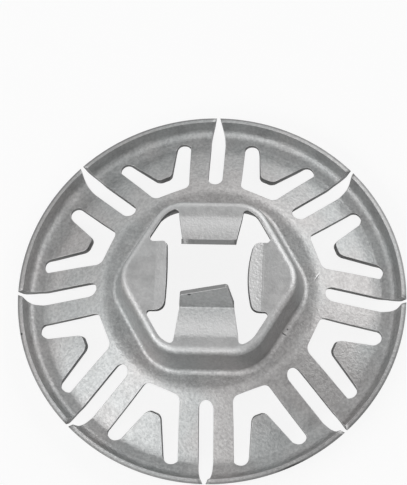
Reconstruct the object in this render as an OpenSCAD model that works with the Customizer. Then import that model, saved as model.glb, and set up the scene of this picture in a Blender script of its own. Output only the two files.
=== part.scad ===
// Push-on moulding clip for a plain or threaded stud: one piece of stamped and curled sheet steel.
// The origin is on the stud's axis, in the plane of the seat ring that presses on the panel. +Z points
// up, out of the raised boss. Each section is drawn along the sheet's upper surface, with the inner
// radii of its bends, and the sheet lies below that line.

/* [Sheet] */
// Thickness of the sheet
sheet_t = 0.5; // [0.4:0.05:0.65]
// Inner radius of the sharp press bends
bend_r = 0.25; // [0.15:0.05:0.4]

/* [Rim] */
// Diameter over the curled rim
rim_d = 38; // [34:1:48]
// Height of the lip's outer edge above the seat plane
lip_h = 1.85; // [1.3:0.05:2.4]
// Lean of the lip from the seat plane, in degrees
lip_angle = 66; // [55:1:80]
// Width of the flat seat ring, between the sharp corners of its upper surface
seat_w = 1.35; // [1.1:0.05:2]

/* [Brim] */
// Slope of the sprung brim, in degrees
brim_angle = 31; // [20:1:36]
// Radius of the soft bend between hub and brim
hub_bend_r = 1.6; // [0.8:0.1:2.5]
// Flat hub between the foot of the boss's corners and the soft bend
hub_w = 0.22; // [0.16:0.02:0.8]

/* [Slots] */
// Number of radial slots, and of V slots between them
slot_count = 8; // [6:1:9]
// Width of a radial slot
slot_w = 1.4; // [1:0.1:1.8]
// Width left of a radial slot where it runs out through the rim
slot_mouth = 0.3; // [0.2:0.05:0.6]
// Hub left between the brim's edge and a radial slot
slot_land = 0.75; // [0.6:0.05:1.5]
// Width of a V slot's arm at its rounded end
arm_w = 1.34; // [1:0.02:1.5]
// Taper of an arm from its end to its root, in degrees
arm_taper = 2.5; // [0:0.5:5]
// Radial width of a V slot across its middle
v_throat = 2; // [1.6:0.1:2.6]
// Part of the slot pitch that a V slot spans at its ends
v_span = 0.592; // [0.5:0.002:0.62]
// Part of the slot pitch that a V slot spans at its base
v_base = 0.414; // [0.34:0.002:0.46]
// How much nearer the axis a V slot begins than a radial slot
v_lead = 0.2; // [0:0.05:0.4]
// Radius of the corners at the base of a V slot
v_corner_r = 0.76; // [0.3:0.02:0.9]
// Width of the spring tab's blunt end, before its corners are rounded
tab_w = 1.36; // [1:0.02:1.8]
// Radius of the spring tab's corners
tab_r = 0.69; // [0.2:0.01:0.8]

/* [Boss] */
// Width of the raised hexagon's top across flats, to sharp edges
boss_af = 15.4; // [14.6:0.2:18.6]
// Height of the boss's top above the hub
boss_h = 3.6; // [2.4:0.1:4.4]
// Steepness of the boss's walls, in degrees
wall_angle = 82; // [70:1:86]
// Radius of the hexagon's corners at the top
boss_corner_r = 3.2; // [2.9:0.1:3.8]
// Inner radius of the bend along the top of the walls
crown_r = 0.3; // [0.2:0.05:0.5]
// Inner radius of the bend along the foot of the walls
foot_r = 0.8; // [0.5:0.05:1]

/* [Grip] */
// Gap between the tongues' tips, which bite a 5 mm stud
grip_gap = 4.3; // [3.5:0.05:4.9]
// Flange left between the boss's edge and the opening
flange_w = 0.85; // [0.8:0.05:1]
// Width of a tongue at its root
tongue_root_w = 6.4; // [5.6:0.1:6.6]
// Width of a tongue at its upper bend
tongue_bend_w = 5.2; // [4.8:0.05:5.6]
// Rise of a tongue between its root and its upper bend
tongue_rise = 0.8; // [0.5:0.1:1.4]
// Steepness of a tongue's tip, in degrees
tip_angle = 69; // [55:1:75]
// Length of a tongue's tip along its middle
tip_len = 2.4; // [1.6:0.1:3]
// Slant of a tip's edge, which follows the stud's thread, in degrees
tip_slant = 15; // [0:1:18]
// Half the width of a tip at its edge
tip_half_w = 2.5; // [2.1:0.05:2.6]
// Half the width of the front tip on its longer side, where more is trimmed
tip_trim_w = 2.05; // [1.8:0.05:2.6]
// Radius of a tip's corners
tip_corner_r = 0.4; // [0.1:0.05:0.6]
// Width across each side lobe, along Y
lobe_w = 7.15; // [6.4:0.05:7.4]
// Radius of a lobe's corners
lobe_corner_r = 0.75; // [0.3:0.05:1]
// Distance of a lobe's bend from the axis
lobe_bend_x = 5.15; // [5:0.05:5.4]
// Rise of a lobe's inner part, in degrees
lobe_angle = 25; // [0:1:35]
// Distance of the right lobe's edge from the axis, at its middle
right_edge_x = 3.75; // [3.6:0.05:4.4]
// How far the right lobe's edge bulges towards the stud
right_bulge = 0.8; // [0.1:0.05:1]
// Distance of the left lobe's edge from the axis, at its middle
left_edge_x = 3.95; // [3.6:0.05:4.4]
// How far the left lobe's edge bulges towards the stud
left_bulge = 0.2; // [0.1:0.05:1]

/* [Hidden] */
$fn = 96;
// Largest turn of one facet where a bend or a punched corner is drawn
facet_angle = 15;
// Facets round each corner of the boss
corner_steps = 4;
// Allowance by which cuts pass right through the sheet
through = 1;
// Spare length on bent strips, which are trimmed to their outlines afterwards
spare = 2;
// Size of the blocks that trim bent strips, well past the strips' ends
trim = 12;
// Lap of one formed region into the next, so that they join as one sheet
root_lap = 0.1;
// Flat at a tongue's root before its first bend
root_flat = 0.2;
// Radius of the punched corners beside the tongues and the lobes
notch_r = 0.35;
// Radius of the opening's corners beyond the tongues' roots
opening_r = 0.6;
// Part of an arm's width that each corner of its end rounds, which leaves a little flat between
arm_round = 0.485;
// Power by which a radial slot narrows through the curl of the rim
slot_taper = 2.2;
// Points along the narrowing sides of a radial slot
slot_steps = 8;
pitch = 360/slot_count;
// Rim, from the lip's outer edge inwards along the top of the seat ring
rim_r = rim_d/2;
lip_foot_r = rim_r - (lip_h - sheet_t)/tan(lip_angle) - sheet_t/sin(lip_angle);
seat_r = lip_foot_r - seat_w;
lip_reach = (lip_h - sheet_t + sheet_t*cos(lip_angle))/sin(lip_angle);
// Boss, with apothems measured from the axis to a flat side
crown_a = boss_af/2;
foot_a = crown_a + boss_h/tan(wall_angle);
corner_a = crown_a - boss_corner_r;
foot_end_a = foot_a + foot_r*tan(wall_angle/2);
foot_corner_r = foot_end_a - corner_a;
corner_axis_r = corner_a/cos(30);
stations = [for (k = [0:5], s = [0:corner_steps]) [60*k, 60*k - 30 + 60*s/corner_steps]];
// Hub and brim
hub_edge_r = corner_axis_r + foot_corner_r + hub_w;
hub_r = hub_edge_r + (hub_bend_r + sheet_t)*tan(brim_angle/2);
hub_z = micron(sheet_t + (seat_r - hub_r)*tan(brim_angle));
crown_z = hub_z + boss_h;
// Slots
slot_in_r = hub_r + slot_land;
v_in_r = slot_in_r - v_lead;
arm_r = arm_round*arm_w;
// Opening in the top of the boss
well_a = crown_a - flange_w;
lobe_y = lobe_w/2;
tongue_bend_y = grip_gap/2 + tip_len*cos(tip_angle) + sheet_t*sin(tip_angle);

// Length x to the nearest micron, so that faces which meet share one plane
function micron(x) = round(1000*x)/1000;

// Unit vector along v
function unit(v) = v/norm(v);

// Vector v turned a quarter turn to the left
function left(v) = [-v[1], v[0]];

// Arc of radius r that rounds corner b between a and c
function corner(a, b, c, r) =
    let (u = unit(a - b), v = unit(c - b), turn = sign(cross(b - a, c - b)))
    r <= 0 || turn == 0 ? [b] :
    let (half = acos(u*v)/2, sweep = 180 - 2*half, n = ceil(sweep/facet_angle))
    let (centre = b + unit(u + v)*r/sin(half), from = b + u*r/tan(half) - centre)
    let (start = atan2(from[1], from[0]))
    [for (k = [0:n]) centre + r*[cos(start + turn*sweep*k/n), sin(start + turn*sweep*k/n)]];

// Closed outline through points [x, y, radius], with every corner rounded
function outline(p) =
    let (n = len(p), q = [for (v = p) [v[0], v[1]]])
    [for (i = [0:n - 1]) each corner(q[(i + n - 1)%n], q[i], q[(i + 1)%n], p[i][2])];

// Vertex i of an open line p, moved by d to the right of the line with its corners kept sharp
function shifted(p, i, d) =
    let (a = i > 0 ? left(unit(p[i] - p[i - 1])) : left(unit(p[1] - p[0])))
    let (b = i < len(p) - 1 ? left(unit(p[i + 1] - p[i])) : a)
    let (m = unit(a + b))
    p[i] - m*d/(m*a);

// One side of a bent sheet: the line p moved right by d, its corners rounded about inner radii r
function side(p, r, d) =
    let (n = len(p), q = [for (i = [0:n - 1]) shifted(p, i, d)])
    [for (i = [0:n - 1]) each i == 0 || i == n - 1 ? [q[i]] :
        corner(q[i - 1], q[i], q[i + 1],
            r[i] + (cross(p[i] - p[i - 1], p[i + 1] - p[i]) > 0 ? d : sheet_t - d))];

// Section of the sheet under the line p, whose bends have the inner radii r
function sheet(p, r) =
    let (low = side(p, r, sheet_t))
    concat(side(p, r, 0), [for (i = [len(low) - 1:-1:0]) low[i]]);

// Sprung brim, seat ring and upturned lip, turned about the axis
module brim() {
    line = [[hub_edge_r - root_lap, hub_z], [hub_r, hub_z], [seat_r, sheet_t], [lip_foot_r, sheet_t],
        [lip_foot_r, sheet_t] + lip_reach*[cos(lip_angle), sin(lip_angle)]];
    rotate_extrude()
        polygon(sheet(line, [0, hub_bend_r, bend_r, bend_r, 0]));
}

// Hexagon with flat sides towards +Y and -Y, its corners rounded by radius r about the corners' axes
function hexagon(r) =
    [for (t = stations) [corner_axis_r*cos(t[0]) + r*cos(t[1]), corner_axis_r*sin(t[0]) + r*sin(t[1])]];

// Flat hub between the boss's foot and the brim
module hub() {
    translate([0, 0, hub_z - sheet_t])
        linear_extrude(sheet_t)
            difference() {
                circle(r = hub_edge_r - root_lap);
                polygon(hexagon(foot_corner_r));
            }
}

// Section of the boss's wall with both its bends, measured from a corner's axis
wall_section = sheet([[well_a - corner_a, crown_z], [crown_a - corner_a, crown_z],
    [foot_a - corner_a, hub_z], [foot_corner_r, hub_z]], [0, crown_r, foot_r, 0]);

// Walls of the boss: the section carried round the six corners and along the sides between them
module boss_walls() {
    n = len(wall_section);
    m = len(stations);
    rings = [for (p = wall_section) hexagon(p[0])];
    points = [for (i = [0:m - 1], j = [0:n - 1]) [rings[j][i][0], rings[j][i][1], wall_section[j][1]]];
    faces = [for (i = [0:m - 1], j = [0:n - 1])
        [i*n + j, ((i + 1)%m)*n + j, ((i + 1)%m)*n + (j + 1)%n, i*n + (j + 1)%n]];
    polyhedron(points, faces);
}

// Opening in the top of the boss before the tongues and the lobes' inner parts fill it
module opening() {
    side_x = (well_a - lobe_y*sin(30))/cos(30);
    top_x = (well_a - well_a*sin(30))/cos(30);
    quarter = [[lobe_bend_x, lobe_y, 0], [side_x, lobe_y, notch_r], [top_x, well_a, opening_r]];
    flip = [for (i = [2:-1:0]) [-quarter[i][0], quarter[i][1], quarter[i][2]]];
    half = concat(quarter, flip);
    polygon(outline(concat(half, [for (i = [5:-1:0]) [half[i][0], -half[i][1], half[i][2]]])));
}

// Flat top of the boss
module crown() {
    translate([0, 0, crown_z - sheet_t])
        linear_extrude(sheet_t)
            difference() {
                polygon(hexagon(well_a - corner_a));
                opening();
            }
}

// Outline of a tongue seen from above, with fillets where it leaves the flange
module tongue_plan() {
    root_x = tongue_root_w/2;
    bend_x = tongue_bend_w/2;
    half = [[root_x + opening_r, -well_a, 0], [root_x, -well_a, notch_r],
        [bend_x, -tongue_bend_y, 0], [bend_x, 0, 0]];
    polygon(outline(concat(half, [for (i = [3:-1:0]) [-half[i][0], half[i][1], half[i][2]]])));
}

// Point on the line from tip to foot, carried on past the foot by root_lap
function beyond(tip, foot) = foot + (foot - tip)*root_lap/(tip[1] - foot[1]);

// Outline of a tip in its own plane, measured from its bend, with half-widths at its edge
module tip_plan(tip_left, tip_right) {
    slant = tan(tip_slant);
    foot = [tongue_bend_w/2, root_flat];
    tip_r = [tip_right, tip_len + tip_right*slant];
    tip_l = [tip_left, tip_len - tip_left*slant];
    heel_r = beyond(tip_r, foot);
    heel_l = beyond(tip_l, foot);
    polygon(outline([
        [-trim, -trim, 0], [trim, -trim, 0], [trim, heel_r[1], 0], [heel_r[0], heel_r[1], 0],
        [tip_r[0], tip_r[1], tip_corner_r], [-tip_l[0], tip_l[1], tip_corner_r],
        [-heel_l[0], heel_l[1], 0], [-trim, heel_l[1], 0]]));
}

// Tongue on the -Y side, bent twice so that its slanted tip follows the thread
module tongue(tip_left, tip_right) {
    bend = [-tongue_bend_y, crown_z + tongue_rise];
    line = [[-well_a, crown_z], [-well_a + root_flat, crown_z], bend,
        bend + (tip_len + spare)*[cos(tip_angle), sin(tip_angle)]];
    intersection() {
        translate([-trim/2, 0, 0])
            rotate([90, 0, 90])
                linear_extrude(trim)
                    polygon(sheet(line, [0, bend_r, bend_r, 0]));
        translate([0, 0, crown_z - trim/2])
            linear_extrude(trim)
                tongue_plan();
        translate([0, bend[0], bend[1]])
            rotate([tip_angle, 0, 0])
                translate([0, 0, -trim/2])
                    linear_extrude(trim)
                        tip_plan(tip_left, tip_right);
    }
}

// Inner part of the lobe on the +X side, bent up along its root, with an edge that bulges
module lobe(edge_x, bulge) {
    edge = (lobe_bend_x - edge_x - sheet_t*sin(lobe_angle))/cos(lobe_angle);
    arc_y = lobe_y - lobe_corner_r;
    peak = edge + bulge*arc_y/(2*lobe_y);
    line = [[-lobe_bend_x - root_lap, crown_z], [-lobe_bend_x, crown_z],
        [-lobe_bend_x, crown_z] + (edge + spare)*[cos(lobe_angle), sin(lobe_angle)]];
    mirror([1, 0, 0])
        intersection() {
            translate([0, lobe_y, 0])
                rotate([90, 0, 0])
                    linear_extrude(lobe_w)
                        polygon(sheet(line, [0, bend_r, 0]));
            translate([-lobe_bend_x, 0, crown_z])
                rotate([0, -lobe_angle, 0])
                    translate([0, 0, -trim/2])
                        linear_extrude(trim)
                            polygon(outline([
                                [-through, -lobe_y, 0], [peak - bulge, -lobe_y, lobe_corner_r],
                                [peak, 0, arc_y*lobe_y/bulge],
                                [peak - bulge, lobe_y, lobe_corner_r], [-through, lobe_y, 0]]));
        }
}

// Radial slot along +X, which narrows through the curl of the rim
module radial_slot() {
    half = slot_w/2;
    run = [for (k = [0:slot_steps])
        [seat_r + (rim_r - seat_r)*k/slot_steps,
        half - (half - slot_mouth/2)*pow(k/slot_steps, slot_taper)]];
    upper = concat([[slot_in_r + half, half]], run, [[rim_r + through, slot_mouth/2]]);
    translate([slot_in_r + half, 0])
        circle(r = half);
    polygon(concat(upper, [for (i = [len(upper) - 1:-1:0]) [upper[i][0], -upper[i][1]]]));
}

// V slot along +X: two arms that spread from a wide base round a blunt spring tab
module v_slot() {
    base = [v_in_r, v_in_r*tan(v_base*pitch/2)];
    arm = [seat_r - root_lap, (seat_r - root_lap)*tan(v_span*pitch/2)];
    lean = atan2(arm[1] - base[1], arm[0] - base[0]) + arm_taper;
    inner = arm + arm_w*[sin(lean), -cos(lean)];
    upper = [[base[0], base[1], v_corner_r], [arm[0], arm[1], arm_r], [inner[0], inner[1], arm_r],
        [v_in_r + v_throat, tab_w/2, tab_r]];
    polygon(outline(concat([for (i = [3:-1:0]) [upper[i][0], -upper[i][1], upper[i][2]]], upper)));
}

// All slots of the brim, cut straight down
module slots() {
    translate([0, 0, -through])
        linear_extrude(hub_z + 2*through)
            for (k = [0:slot_count - 1])
                rotate(90 + pitch*k) {
                    radial_slot();
                    rotate(pitch/2)
                        v_slot();
                }
}

// The whole clip: zinc-plated steel, dull grey
module clip() {
    color([0.66, 0.66, 0.67]) {
        difference() {
            union() {
                brim();
                hub();
            }
            slots();
        }
        boss_walls();
        crown();
        tongue(tip_half_w, tip_trim_w);
        rotate(180)
            tongue(tip_half_w, tip_half_w);
        lobe(right_edge_x, right_bulge);
        mirror([1, 0, 0])
            lobe(left_edge_x, left_bulge);
    }
}

clip();
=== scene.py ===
"""Looks of a push-on moulding clip: one stamped sheet with a slotted brim, a hexagonal boss and a grip.

The clip's geometry is in millimetres until it becomes a mesh. The origin is on the stud's axis, in the
plane of the seat ring, with +Z up out of the boss, +X across the side lobes and +Y across the tongues.
"""

from __future__ import annotations

import logging
from abc import ABC, abstractmethod
from dataclasses import dataclass
from enum import Enum
from functools import cached_property
from typing import ClassVar

import bpy
import numpy as np
from mathutils import Matrix
from numpy.typing import NDArray

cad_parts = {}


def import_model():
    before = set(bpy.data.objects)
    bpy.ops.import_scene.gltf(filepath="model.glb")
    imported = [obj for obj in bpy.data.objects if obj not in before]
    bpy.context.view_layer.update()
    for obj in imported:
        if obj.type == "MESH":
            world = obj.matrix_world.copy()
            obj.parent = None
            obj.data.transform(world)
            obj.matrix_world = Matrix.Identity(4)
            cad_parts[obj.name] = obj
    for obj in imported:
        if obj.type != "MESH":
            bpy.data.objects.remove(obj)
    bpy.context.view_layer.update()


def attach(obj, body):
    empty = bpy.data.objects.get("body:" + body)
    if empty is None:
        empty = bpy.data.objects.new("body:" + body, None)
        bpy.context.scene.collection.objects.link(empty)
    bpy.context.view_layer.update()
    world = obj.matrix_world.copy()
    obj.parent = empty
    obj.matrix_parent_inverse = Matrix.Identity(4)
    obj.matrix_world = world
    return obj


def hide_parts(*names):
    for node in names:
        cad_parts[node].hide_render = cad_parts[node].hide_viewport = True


Array = NDArray[np.float64]
Faces = NDArray[np.int64]
Socket = bpy.types.NodeSocket
Colour = tuple[float, float, float, float]

# Metres in a millimetre.
MM = 0.001
# Slack where two lengths in millimetres are compared, and decimals kept where points are sorted.
TINY = 1e-6
DIGITS = 9
# Millimetres by which a section runs on beyond the part of it that is used.
SPARE = 1.0

log = logging.getLogger("clip")


def unit(vector: Array) -> Array:
    """Scales vectors along the last axis to length 1."""
    return vector / np.linalg.norm(vector, axis=-1, keepdims=True)


def left_of(vector: Array) -> Array:
    """Turns plane vectors a quarter turn to the left."""
    return np.stack([-vector[..., 1], vector[..., 0]], axis=-1)


def heading(degrees: Array | float) -> Array:
    """Unit plane vectors at the given angles."""
    angle = np.radians(degrees)
    return np.stack([np.cos(angle), np.sin(angle)], axis=-1)


def join(*runs: Array) -> Array:
    """Chains polylines that start where the one before ends, without the doubled points."""
    return np.concatenate([runs[0]] + [run[1:] for run in runs[1:]])


def straight(start: Array, end: Array, steps: int) -> Array:
    """Evenly spaced points from start to end.

    Args:
        start: First point.
        end: Last point.
        steps: Number of stretches between them.

    Returns:
        An array of steps + 1 points.
    """
    share = np.linspace(0.0, 1.0, steps + 1)[:, None]
    return (1 - share) * np.asarray(start, float) + share * np.asarray(end, float)


def rounded(before: Array, corner: Array, after: Array, radius: float, steps: int = 16) -> Array:
    """Arc that rounds a corner of a polyline, tangent to both of its sides.

    The arc's centre lies on the bisector, radius / sin(half the corner's angle) from the corner.

    Args:
        before: Point on the side that runs into the corner.
        corner: The sharp corner.
        after: Point on the side that leaves it.
        radius: Radius of the arc.
        steps: Number of stretches on the arc.

    Returns:
        The arc's points, from the first side to the second.
    """
    corner = np.asarray(corner, float)
    u = unit(np.asarray(before, float) - corner)
    v = unit(np.asarray(after, float) - corner)
    half = np.arccos(np.clip(u @ v, -1, 1)) / 2
    centre = corner + unit(u + v) * radius / np.sin(half)
    first = corner + u * radius / np.tan(half) - centre
    turn = np.sign(u[0] * v[1] - u[1] * v[0]) * -1
    swept = turn * np.linspace(0, 180 - 2 * np.degrees(half), steps + 1)
    return centre + radius * heading(np.degrees(np.arctan2(first[1], first[0])) + swept)


def filled(near: Array, far: Array, left: Array, right: Array, rounds: int = 60) -> Array:
    """Grid of points that fills the space between four edges without folds.

    A point starts as the blend of the two points across from it on near and far, plus the blend of
    those on left and right, less the blend of the four corners. Then each inner point moves to the mean
    of its four neighbours, again and again.

    Args:
        near: First row, from left to right.
        far: Last row, from left to right.
        left: First column, from near to far.
        right: Last column, from near to far.
        rounds: Number of times that the inner points move.

    Returns:
        An array of rows by columns by coordinates.
    """
    v = np.linspace(0.0, 1.0, len(left))[:, None, None]
    u = np.linspace(0.0, 1.0, len(near))[None, :, None]
    along = (1 - v) * near[None] + v * far[None]
    across = (1 - u) * left[:, None] + u * right[:, None]
    corners = (1 - v) * ((1 - u) * near[0] + u * near[-1]) + v * ((1 - u) * far[0] + u * far[-1])
    grid = along + across - corners
    for _ in range(rounds):
        grid[1:-1, 1:-1] = (grid[:-2, 1:-1] + grid[2:, 1:-1] + grid[1:-1, :-2] + grid[1:-1, 2:]) / 4
    return grid


def zipped(near: Array, far: Array) -> Faces:
    """Triangles between two lines that share both ends and both run from left to right.

    Each stretch of one line is joined to the point that the other line has reached by the same share of
    its length. The near line is kept a step ahead at both ends, where the far one curls away from it.

    Args:
        near: Points of the near line.
        far: Points of the far line, which lies ahead of the near one.

    Returns:
        Rows of three indices, into near's points followed by those of far.
    """
    n, m = len(near), len(far)
    i, j = np.arange(n - 1), np.arange(m - 1)
    near_share, far_share = shares(near), shares(far)
    near_key = np.where(near_share[1:] + near_share[:-1] < 1, near_share[:-1], near_share[1:])
    far_key = (far_share[1:] + far_share[:-1]) / 2
    far_at = np.searchsorted(far_key, near_key, side="left")
    near_at = np.searchsorted(near_key, far_key, side="right")
    faces = np.concatenate([np.stack([i, i + 1, n + far_at], axis=1),
                            np.stack([near_at, n + j + 1, n + j], axis=1)])
    faces[faces == n] = 0
    faces[faces == n + m - 1] = n - 1
    return faces[np.all(faces != np.roll(faces, 1, axis=1), axis=1)]


def shares(line: Array) -> Array:
    """Share of a polyline's length at which each of its points stands."""
    run = np.concatenate([[0.0], np.cumsum(np.linalg.norm(np.diff(line, axis=0), axis=1))])
    return run / run[-1]


def at_shares(line: Array, share: Array) -> Array:
    """Points along a polyline at the given shares of its length."""
    run = shares(line)
    return np.stack([np.interp(share, run, line[:, k]) for k in range(line.shape[1])], axis=1)


def divided(marks: Array, step: float) -> Array:
    """Splits the stretches between marks evenly, so that none is longer than a step.

    Args:
        marks: Rising numbers, which are all kept.
        step: Longest stretch allowed.

    Returns:
        The marks and the points between them.
    """
    counts = np.ceil(np.diff(marks) / step - TINY).astype(int)
    runs = [np.linspace(a, b, n, endpoint=False) for a, b, n in zip(marks[:-1], marks[1:], counts)]
    return np.append(np.concatenate(runs), marks[-1])


def spaced(line: Array, steps: int) -> Array:
    """Points that split a polyline into even lengths."""
    return at_shares(line, np.linspace(0.0, 1.0, steps + 1))


def polar(points: Array) -> Array:
    """Plane points as radius and angle in radians."""
    x, y = points[..., 0], points[..., 1]
    return np.stack([np.hypot(x, y), np.arctan2(y, x)], axis=-1)


def plane(radius: Array, angle: Array) -> Array:
    """Plane points at the given radii and angles in radians."""
    return np.stack([radius * np.cos(angle), radius * np.sin(angle)], axis=-1)


class BentLine:
    """Section of a bent sheet: its upper line with rounded bends, and the normals across the sheet.

    In a bend the points lie on an arc, and the lower face is the upper one moved by the thickness
    against the normal, so that both faces share the bend's centre.
    """

    def __init__(self, points: list[list[float]], radii: list[float], thickness: float, step: float) -> None:
        """Draws the section.

        Args:
            points: Sharp corners of the upper line, with the sheet on its right.
            radii: Inner radius of the bend at each inner corner.
            thickness: Thickness of the sheet.
            step: Largest turn between two points of a bend, in degrees.
        """
        corner = np.asarray(points, float)
        run = unit(np.diff(corner, axis=0))
        upper, normal, middles = [corner[:1]], [left_of(run[:1])], []
        for k, radius in enumerate(radii):
            turn = np.degrees(np.arctan2(left_of(run[k]) @ run[k + 1], run[k] @ run[k + 1]))
            upper_r = radius if turn > 0 else radius + thickness
            tangent = upper_r * np.tan(np.radians(abs(turn)) / 2)
            centre = corner[k + 1] - tangent * run[k] + np.sign(turn) * upper_r * left_of(run[k])
            start = np.degrees(np.arctan2(run[k][1], run[k][0]))
            steps = 2 * int(np.ceil(abs(turn) / step / 2))
            across = left_of(heading(start + turn * np.linspace(0, 1, steps + 1)))
            middles.append(sum(len(piece) for piece in upper) + steps // 2)
            upper.append(centre - np.sign(turn) * upper_r * across)
            normal.append(across)
        upper.append(corner[-1:])
        normal.append(left_of(run[-1:]))
        self.upper = np.concatenate(upper)
        self.normal = np.concatenate(normal)
        self.lower = self.upper - thickness * self.normal
        self.length = np.concatenate([[0.0], np.cumsum(np.linalg.norm(np.diff(self.upper, axis=0), axis=1))])
        self.bends = self.length[middles]

    def faces(self, length: Array) -> tuple[Array, Array]:
        """Points of both faces.

        Args:
            length: Lengths along the upper line.

        Returns:
            Those of the upper and those of the lower face.
        """
        pick = [np.stack([np.interp(length, self.length, line[:, k]) for k in (0, 1)], axis=-1)
                for line in (self.upper, self.lower)]
        return pick[0], pick[1]

    def length_at(self, place: Array | float) -> Array:
        """Length along the upper line at which it stands over the given place."""
        return np.interp(place, self.upper[:, 0], self.length)


@dataclass
class Skin:
    """Closed surface in millimetres, ready to become a mesh.

    Attributes:
        points: Its points.
        faces: Groups of triangles and quads, as rows of indices.
        normals: Unit normal at each point.
        cut: 1 on a cut face, one half on its rounded edges and 0 on the sheet's own faces.
        depth: 0 at the upper and 1 at the lower face.
    """

    points: Array
    faces: list[Faces]
    normals: Array
    cut: Array
    depth: Array


class Shell:
    """Closed skin of a punched sheet, gathered from panels that each have an upper and a lower face."""

    WELD: float = 1e-4

    def __init__(self) -> None:
        """Starts with no panels."""
        self.upper: list[Array] = []
        self.lower: list[Array] = []
        self.faces: list[Faces] = []
        self.count = 0

    def panel(self, upper: Array, lower: Array) -> None:
        """Adds a grid of quads.

        Args:
            upper: Rows by columns by 3, so that rows cross columns point out of the upper face.
            lower: The matching points of the lower face.
        """
        rows, columns = upper.shape[:2]
        index = np.arange(rows * columns).reshape(rows, columns)
        quads = np.stack([index[:-1, :-1], index[1:, :-1], index[1:, 1:], index[:-1, 1:]], axis=-1)
        self.mesh(upper.reshape(-1, 3), lower.reshape(-1, 3), quads.reshape(-1, 4))

    def grid(self, upper: Array, lower: Array) -> None:
        """Adds a grid whose rows go forward and whose columns go to the right."""
        self.panel(upper[:, ::-1], lower[:, ::-1])

    def mesh(self, upper: Array, lower: Array, faces: Faces) -> None:
        """Adds loose faces.

        Args:
            upper: Points of the upper face.
            lower: The matching points of the lower face.
            faces: Rows of indices into both, to the left round each face as seen from above.
        """
        self.upper.append(upper)
        self.lower.append(lower)
        self.faces.append(faces + self.count)
        self.count += len(upper)

    def welded(self) -> tuple[Array, Array, list[Faces]]:
        """Makes one point of those that share a place on the upper face.

        Returns:
            The upper points, the lower points, and the upper faces in groups of triangles and quads.
        """
        upper, lower = np.concatenate(self.upper), np.concatenate(self.lower)
        keys = np.round(upper / self.WELD).astype(np.int64)
        _, first, weld = np.unique(keys, axis=0, return_index=True, return_inverse=True)
        groups = [weld.reshape(-1)[faces] for faces in self.faces]
        sizes = sorted({group.shape[1] for group in groups})
        tops = [np.concatenate([g for g in groups if g.shape[1] == size]) for size in sizes]
        return upper[first], lower[first], tops

    @staticmethod
    def free_edges(count: int, tops: list[Faces]) -> Faces:
        """Finds the edges that only one face uses.

        Args:
            count: Number of points.
            tops: Groups of triangles and quads over them.

        Returns:
            Rows of two indices, in the direction in which each edge's face runs.
        """
        edges = np.concatenate([np.stack([t, np.roll(t, -1, axis=1)], axis=-1).reshape(-1, 2) for t in tops])
        code = np.sort(edges, axis=1) @ np.array([count, 1])
        _, inverse, uses = np.unique(code, return_inverse=True, return_counts=True)
        return edges[uses[inverse.reshape(-1)] == 1]

    def closed(self, roll: float, burr: float) -> Skin:
        """Welds the panels and closes the cut edges with rounded walls.

        At a free edge the point on each face moves in along the face, and a wall runs from the upper to
        the lower face through a point on the parabola that rounds each corner.

        Args:
            roll: Rounding of the upper edge, where the punch drew the sheet in.
            burr: Rounding of the lower edge.

        Returns:
            The closed skin.
        """
        upper, lower, tops = self.welded()
        free = self.free_edges(len(upper), tops)
        count, rim = len(upper), free[:, 0]
        after = np.full(count, -1)
        after[rim] = free[:, 1]
        before = np.full(count, -1)
        before[free[:, 1]] = rim
        up, down = self.normals(upper, tops), -self.normals(lower, tops)
        across = unit(lower[rim] - upper[rim])
        run = unit(upper[after[rim]] - upper[before[rim]])
        out = unit(np.cross(run, -across))
        inset = self.inset(upper, up, rim, before, after), self.inset(lower, -down, rim, before, after)
        corner_up, corner_down = upper[rim], lower[rim]
        wall_up, wall_down = corner_up + roll * across, corner_down - burr * across
        upper[rim] -= roll * inset[0]
        lower[rim] -= burr * inset[1]
        bend_up = (upper[rim] + 2 * corner_up + wall_up) / 4
        bend_down = (lower[rim] + 2 * corner_down + wall_down) / 4

        place = np.full(count, -1)
        place[rim] = np.arange(len(rim))
        rings = [2 * count + k * len(rim) + place for k in range(4)]
        rings = [np.arange(count), *rings, count + np.arange(count)]
        walls = [np.stack([a[free[:, 1]], a[free[:, 0]], b[free[:, 0]], b[free[:, 1]]], axis=1)
                 for a, b in zip(rings[:-1], rings[1:])]
        under = [t[:, ::-1] + count for t in tops]
        flat, edge = np.zeros(2 * count), np.ones(len(rim))
        return Skin(points=np.concatenate([upper, lower, bend_up, wall_up, wall_down, bend_down]),
                    faces=tops + under + walls,
                    normals=np.concatenate([up, down, unit(up[rim] + out), out, out, unit(down[rim] + out)]),
                    cut=np.concatenate([flat, edge / 2, edge, edge, edge / 2]),
                    depth=np.concatenate([flat[:count], flat[:count] + 1, 0 * edge, 0 * edge, edge, edge]))

    @staticmethod
    def normals(points: Array, groups: list[Faces]) -> Array:
        """Unit normal at each point: the sum of its faces' normals, each weighted by area.

        Args:
            points: Points of one side of the sheet.
            groups: Groups of triangles and quads over them.

        Returns:
            The normals.
        """
        total = np.zeros_like(points)
        for faces in groups:
            a, b, c = points[faces[:, 0]], points[faces[:, 1]], points[faces[:, 2]]
            area = np.cross(b - a, c - a)
            if faces.shape[1] == 4:
                area = area + np.cross(c - a, points[faces[:, 3]] - a)
            np.add.at(total, faces.reshape(-1), np.repeat(area, faces.shape[1], axis=0))
        return unit(total)

    @staticmethod
    def inset(points: Array, normals: Array, rim: Faces, before: Faces, after: Faces) -> Array:
        """Mitred steps out of the face at its free edge, one unit away from both neighbouring edges.

        Args:
            points: Points of the face.
            normals: Their normals.
            rim: Indices of the points on the free edge.
            before: Index of the edge point before each point.
            after: Index of the edge point after each point.

        Returns:
            One step for each point of the rim.
        """
        normal = normals[rim]
        first = unit(np.cross(unit(points[rim] - points[before[rim]]), normal))
        second = unit(np.cross(unit(points[after[rim]] - points[rim]), normal))
        return (first + second) / (1 + np.sum(first * second, axis=1, keepdims=True))


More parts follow.
